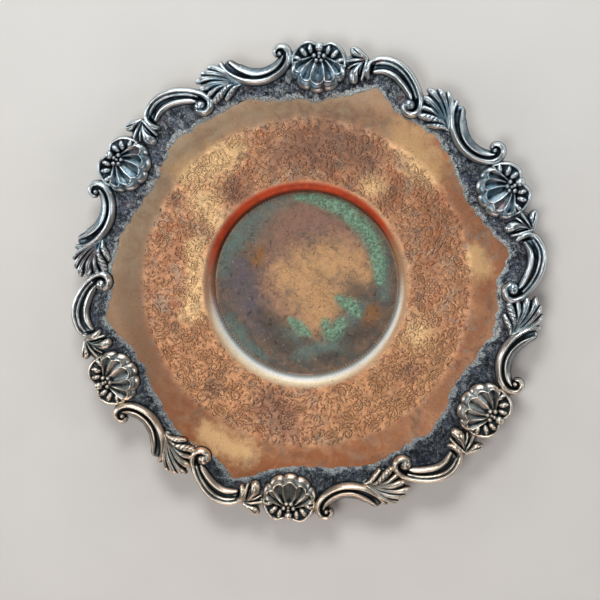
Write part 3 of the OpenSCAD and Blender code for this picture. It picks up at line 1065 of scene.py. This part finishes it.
def sheet_tone(s, cloud, mottle, ragged):
    """The engraved band and the sloping side: brown clouds, painted shade on the west of the side, a painted
    red reflection at its bottom, paler towards its upper left, brighter on the lower band, and patches of
    painted highlight and painted shade.
    """
    tone = s.mix(s.span(s.noise(26, 3, 0.5, 0.6), 0.38, 0.62), colour(176, 126, 94), colour(200, 150, 114))
    tone = s.clouded(
        tone,
        (cloud, 0.50, 0.66, 0.65, (184, 116, 82)),
        (mottle, 0.52, 0.72, 0.55, (158, 122, 112)),
        (s.noise(16, 5, 0.62, 1.0), 0.53, 0.66, 0.75, (138, 110, 92)),
        (s.noise(10, 5, 0.65, 0.8), 0.52, 0.64, 0.65, (168, 148, 130)),
        (s.noise(1.9, 6, 0.75, 0.8), 0.53, 0.66, 0.55, (124, 92, 76)),
        (s.noise(1.5, 6, 0.75, 0.8), 0.56, 0.68, 0.40, (216, 178, 142)),
    )
    # Painted shade: the west of the sloping side is tinted darker olive-brown.
    west_shade = s.span(s.attribute("west_shade"), 0.3, 0.95, 0, 0.6)
    tone = s.tint(tone, s.times(s.attribute("side"), west_shade), 158, 130, 106)
    # Paler towards the upper left of the side, a painted red reflection at its bottom, and brighter towards
    # the lower right and lower left of the band.
    for name, low, high, rgb in (("paler_upper_left", 0.5, 0.85, (206, 186, 158)), ("red_side_reflection", 0.3, 0.7, (156, 94, 56)),
                                 ("brighter_lower_band", 0.8, 0.5, (200, 150, 108))):
        tone = s.tint(tone, s.times(s.attribute(name), s.span(cloud, 0.35, 0.60, low, high)), *rgb)
    # Painted golden highlights in patches on the band and the side.
    tone = s.tint(tone, s.times(s.patch("highlight_patch", ragged, 0.8, 0.9), 0.8), 240, 202, 150)
    # Painted shade in patches on the band.
    return s.tint(tone, s.times(s.patch("shade_and_dark_stain", ragged, 1.0, 0.9), 0.62), 122, 94, 84)


def wall_tone(s, tone, cloud, mottle):
    """The wall of the well: painted light and shade, golden on the east and darker on the west, a painted red
    reflection on the far side that a painted shade darkens low down, and a painted white highlight on the
    near side.
    """
    # Painted light and shade on the wall: golden on the east side, darker brown on the west.
    wall_light_and_shade = s.mix(s.span(s.attribute("west_shade"), 0.0, 0.6), colour(206, 166, 126), colour(166, 124, 102))
    tone = s.mix(s.times(s.attribute("wall"), 0.8), tone, wall_light_and_shade)
    lip = s.attribute("lip")
    # Painted red reflection on the far side of the wall, darkened low down by painted shade.
    red = s.mix(s.span(lip, 0.05, 0.30), colour(92, 34, 20), colour(224, 80, 34))
    red = s.clouded(red, (cloud, 0.45, 0.65, 0.6, (168, 58, 30)))
    tone = s.mix(s.times(s.attribute("red_wall_reflection"), s.span(mottle, 0.2, 0.6, 0.8, 1.0)), tone, red)
    # Painted white highlight on the near side of the wall, blue-green at its foot and creamier higher up.
    pale = s.mix(s.span(lip, 0.02, 0.26), colour(160, 184, 188), colour(252, 252, 246))
    pale = s.tint(pale, s.span(lip, 0.30, 0.85), 252, 232, 194)
    return s.mix(s.times(s.attribute("wall_highlight"), s.span(cloud, 0.3, 0.6, 0.75, 1.0)), tone, pale)


def floor_tone(s, cloud, mottle, ragged):
    """The floor of the well, tarnished in many colours, and the mask of its verdigris."""
    dabs = s.noise(1.7, 6, 0.75, 0.6)
    broken = s.span(dabs, 0.36, 0.60, 0.45, 1.0)
    tone = s.mix(s.span(cloud, 0.4, 0.62), colour(98, 92, 88), colour(126, 104, 86))
    tone = s.clouded(tone, (mottle, 0.48, 0.70, 0.7, (94, 106, 98)))
    for name, torn, soft, strength, rgb in (
        ("teal", 0.9, 0.9, broken, (104, 130, 124)),
        ("plum", 0.9, 1.0, broken, (104, 98, 108)),
        ("rose", 1.0, 1.1, 0.85, (160, 122, 104)),
        ("amber", 1.2, 1.0, 1.0, (150, 106, 64)),
        ("gold", 0.8, 1.0, s.span(dabs, 0.3, 0.55, 0.7, 1), (216, 170, 122)),
        # On the floor of the well the same mask marks dark tarnish stains.
        ("shade_and_dark_stain", 1.1, 0.9, 0.75, (84, 76, 70)),
    ):
        tone = s.tint(tone, s.times(s.patch(name, ragged, torn, soft), strength), *rgb)
    green = s.mix(s.span(dabs, 0.40, 0.60), colour(82, 124, 104), colour(144, 192, 160))
    verdigris = s.times(s.patch("verdigris", ragged, 0.6, 0.7), s.span(dabs, 0.30, 0.52, 0.55, 1))
    tone = s.clouded(
        s.mix(verdigris, tone, green),
        (s.noise(2.4, 5, 0.7, 0.9), 0.54, 0.68, 0.55, (80, 70, 66)),
        (s.noise(2.0, 5, 0.7, 0.7), 0.56, 0.70, 0.40, (190, 174, 150)),
    )
    return tone, verdigris


def ink_lines(s):
    """Fine dark lines between the engraved strokes, on the flat parts of the sheet."""
    lines = s.times(s.squiggles(2.3, 0.022), s.span(s.noise(8, 3, 0.6), 0.44, 0.60))
    # No ink lines on the sloping side, nor on the painted red reflection and painted white highlight of the
    # wall.
    wall_reflection_and_highlight = s.math("MAXIMUM", s.attribute("red_wall_reflection"), s.attribute("wall_highlight"))
    plain = s.math("MAXIMUM", s.attribute("side"), wall_reflection_and_highlight)
    return s.times(lines, s.math("SUBTRACT", 1.0, plain))


def copper_material():
    s = Shader("worn_copper")
    cloud = s.noise(9, 5, 0.6, 0.8)
    mottle = s.noise(3.2, 5, 0.65, 0.3)
    fine = s.noise(0.7, 4, 0.7)
    ragged = s.noise(6.5, 8, 0.72, 0.5)
    floor = s.attribute("floor")
    wall = s.attribute("wall")
    tone = wall_tone(s, sheet_tone(s, cloud, mottle, ragged), cloud, mottle)
    tarnished, verdigris = floor_tone(s, cloud, mottle, ragged)
    tone = s.mix(floor, tone, tarnished)
    tone = s.clouded(tone, (fine, 0.30, 0.70, 0.22, (90, 62, 46)))
    specks = s.times(s.span(s.cells(2.6), 0.10, 0.17, 1, 0), s.span(s.noise(11, 2), 0.55, 0.66))
    tone = s.tint(tone, s.times(specks, 0.75), 58, 44, 40)
    inked = ink_lines(s)
    tone = s.tint(tone, s.times(inked, 0.62), 62, 44, 36)
    tone = s.clouded(tone, (s.attribute("groove"), 0.05, 0.80, 0.78, (58, 38, 30)))
    metallic = s.blend(floor, 0.86, 0.60)
    metallic = s.blend(wall, metallic, 0.35)
    # Less metallic under the painted white highlight of the wall.
    metallic = s.blend(s.attribute("wall_highlight"), metallic, 0.12)
    metallic = s.times(metallic, s.math("SUBTRACT", 1.0, s.times(verdigris, 0.85)))
    rough = s.span(mottle, 0.25, 0.75, 0.40, 0.55)
    rough = s.blend(s.times(floor, 0.5), rough, 0.62)
    rough = s.blend(s.times(wall, 0.7), rough, 0.42)
    rough = s.blend(s.times(s.attribute("side"), 0.8), rough, 0.66)
    normal = s.bump(s.noise(6.0, 3, 0.5), 0.35, 0.35)
    normal = s.bump(fine, 0.05, 0.35, normal)
    normal = s.bump(s.times(inked, -1.0), 0.06, 0.6, normal)
    normal = s.bump(s.times(s.noise(0.9, 5, 0.75), verdigris), 0.25, 0.6, normal)
    return s.finish(tone, metallic, rough, normal)


def ground_material():
    s = Shader("oxidised_silver")
    grit = s.noise(1.3, 5, 0.75, 0.4)
    crust = s.attribute("crust")
    grains = s.noise(0.8, 6, 0.8, 0.3)
    base = s.mix(s.span(s.noise(6.5, 5, 0.65, 0.8), 0.42, 0.60), colour(30, 36, 50), colour(70, 80, 96))
    base = s.clouded(
        base,
        (grit, 0.50, 0.62, 0.75, (136, 146, 152)),
        (grains, 0.54, 0.64, 0.8, (190, 200, 204)),
    )
    base = s.tint(base, s.span(grains, 0.36, 0.46, 0.7, 0), 24, 24, 32)
    base = s.tint(base, s.span(crust, 0.10, 0.50, 0.85, 0), 16, 18, 24)
    base = s.clouded(
        base,
        (crust, 0.62, 0.90, 0.55, (172, 182, 186)),
        (s.noise(15, 3), 0.54, 0.66, 0.45, (58, 62, 92)),
        (s.noise(12, 4), 0.56, 0.68, 0.45, (112, 88, 92)),
    )
    torn = s.times(s.math("SUBTRACT", s.noise(2.4, 7, 0.8, 0.5), 0.5), 5.0)
    solder = s.span(s.math("ADD", s.attribute("solder"), torn), 0.20, 0.80)
    pale = s.mix(s.span(grains, 0.44, 0.56), colour(112, 126, 130), colour(222, 228, 226))
    lower = s.lower_side()
    base = s.tint(base, s.times(lower, 0.5), 26, 32, 38)
    base = s.mix(s.times(solder, s.span(lower, 0, 1, 0.85, 0.45)), base, pale)
    rough = s.span(grit, 0.3, 0.7, 0.34, 0.66)
    normal = s.bump(s.noise(2.4, 5, 0.7), 0.5, 0.6)
    normal = s.bump(grit, 0.25, 0.7, normal)
    return s.finish(base, s.blend(solder, 0.72, 0.35), rough, normal)


def silver_material():
    s = Shader("antique_silver")
    cloud = s.noise(7, 4, 0.6, 0.6)
    grit = s.noise(1.1, 5, 0.7, 0.3)
    worn = s.attribute("crest")
    for noise, strength in ((grit, 0.4), (cloud, 0.3)):
        worn = s.math("ADD", worn, s.times(s.math("SUBTRACT", noise, 0.5), strength))
    # Painted warm reflection on the lower side: recess, body and crest colours turn warmer towards -Y.
    warm_reflection_below = s.lower_side()
    recess = s.mix(s.span(cloud, 0.40, 0.60), colour(18, 22, 30), colour(50, 68, 80))
    recess = s.tint(recess, s.times(warm_reflection_below, 0.5), 38, 46, 44)
    body = s.mix(s.span(cloud, 0.42, 0.60), colour(92, 122, 138), colour(132, 146, 154))
    body = s.clouded(body, (s.noise(17, 3), 0.50, 0.62, 0.6, (120, 90, 80)))
    body = s.tint(body, s.times(warm_reflection_below, 0.6), 146, 138, 122)
    # Crests towards -Y take a painted warm reflection.
    crest = s.mix(warm_reflection_below, colour(216, 226, 230), colour(232, 218, 200))
    tone = s.mix(s.span(worn, 0.24, 0.46), recess, body)
    tone = s.mix(s.span(worn, 0.58, 0.86), tone, crest)
    tone = s.tint(tone, s.span(s.attribute("height"), 0.02, 0.20, 0.7, 0), 24, 26, 32)
    tone = s.clouded(tone, (grit, 0.58, 0.74, 0.55, (48, 54, 60)))
    rough = s.span(worn, 0.2, 0.9, 0.46, 0.28)
    rough = s.math("ADD", rough, s.span(grit, 0.45, 0.75, 0, 0.14))
    normal = s.bump(s.noise(2.8, 4, 0.6), 0.30, 0.5)
    normal = s.bump(grit, 0.10, 0.5, normal)
    return s.finish(tone, 0.94, rough, normal)


def floor_material():
    s = Shader("studio_floor")
    tone = s.mix(s.noise(60, 3), colour(226, 225, 222), colour(236, 235, 232))
    return s.finish(tone, 0.0, 0.8, s.bump(s.noise(1.5), 0.1, 0.1))


# ---- studio
# Metres from here on. Name, place, size, watts and tint of each soft light.
LIGHTS = (
    ("key", (-0.12, 0.80, 0.80), (0.5, 0.3), 5.5, (1.0, 0.98, 0.95)),
    ("back", (0.0, 1.25, 0.28), (1.1, 0.4), 4.5, (0.94, 0.97, 1.0)),
    ("overhead", (-0.22, -0.20, 1.1), (0.5, 0.4), 3.6, (1.0, 0.97, 0.94)),
    ("right", (0.85, 0.15, 0.45), (0.2, 0.5), 1.6, (0.92, 0.96, 1.0)),
    ("left", (-0.95, 0.10, 0.26), (0.3, 0.6), 2.6, (0.92, 0.96, 1.0)),
    ("low", (0.05, -0.80, 0.30), (0.6, 0.15), 1.3, (1.0, 0.74, 0.64)),
)
LIT_PLACE = (0, 0, 0.01)
CAMERA_PLACE = (0.0666, 0.0727, 0.7085)
CAMERA_RIGHT = (0.9922, 0.0666, -0.1056)
CAMERA_AHEAD = (-0.0974, -0.1152, -0.9886)


def soft_light(name, place, size, watts, tint):
    lamp = bpy.data.lights.new(name, "AREA")
    lamp.shape = "RECTANGLE"
    lamp.size, lamp.size_y = size
    lamp.energy = watts
    lamp.color = tint
    holder = bpy.data.objects.new(name, lamp)
    bpy.context.collection.objects.link(holder)
    holder.location = place
    aim = Vector(LIT_PLACE) - Vector(place)
    holder.rotation_euler = aim.to_track_quat("-Z", "Y").to_euler()


def add_studio():
    bpy.ops.mesh.primitive_plane_add(size=8.0, location=(0, 0, 0))
    floor = bpy.context.active_object
    floor.name = "floor"
    floor.data.materials.append(floor_material())
    for light in LIGHTS:
        soft_light(*light)
    world = bpy.data.worlds.new("studio")
    world.use_nodes = True
    background = world.node_tree.nodes["Background"]
    background.inputs["Color"].default_value = (0.80, 0.84, 0.90, 1)
    background.inputs["Strength"].default_value = 0.07
    bpy.context.scene.world = world
    bpy.context.scene.view_settings.view_transform = "Standard"


def add_camera():
    """The camera almost straight above the salver, a little towards its upper right."""
    right = Vector(CAMERA_RIGHT).normalized()
    ahead = Vector(CAMERA_AHEAD).normalized()
    up = right.cross(ahead)
    lens = bpy.data.cameras.new("camera")
    lens.lens = 72.0
    lens.sensor_width = 36.0
    camera = bpy.data.objects.new("camera", lens)
    bpy.context.collection.objects.link(camera)
    turn = Matrix((right, up, -ahead)).transposed().to_4x4()
    camera.matrix_world = Matrix.Translation(CAMERA_PLACE) @ turn
    bpy.context.scene.camera = camera


# ---- build
# Relief of each ornament, its number of triangles, and the repeats its first copy is turned by.
ORNAMENTS = {
    "shell": (shell_relief, 12000, 0),
    "leaf_clasp": (leaf_clasp_relief, 5000, 0),
    "outer_scroll": (outer_scroll_relief, 8000, 0),
    "acanthus_leaf": (acanthus_leaf_relief, 10000, 0),
    "inner_scroll": (inner_scroll_relief, 9000, 1),
}


def build():
    copper = copper_material()
    ground = ground_material()
    silver = silver_material()

    tray = tray_mesh("tray_plate_sheet")
    tray.materials.append(copper)
    sheet = scene_object("tray_plate_sheet", tray)
    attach(sheet, BODY)
    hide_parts("tray_plate")

    ring = ring_mesh("border_ring_ground")
    ring.materials.append(ground)
    border = scene_object("border_ring_ground", ring)
    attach(border, BODY)
    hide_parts("border_ring")

    for name, (relief, triangles, first_turn) in ORNAMENTS.items():
        place_ornament(name, relief(), triangles, first_turn, silver)


build()
add_studio()
add_camera()
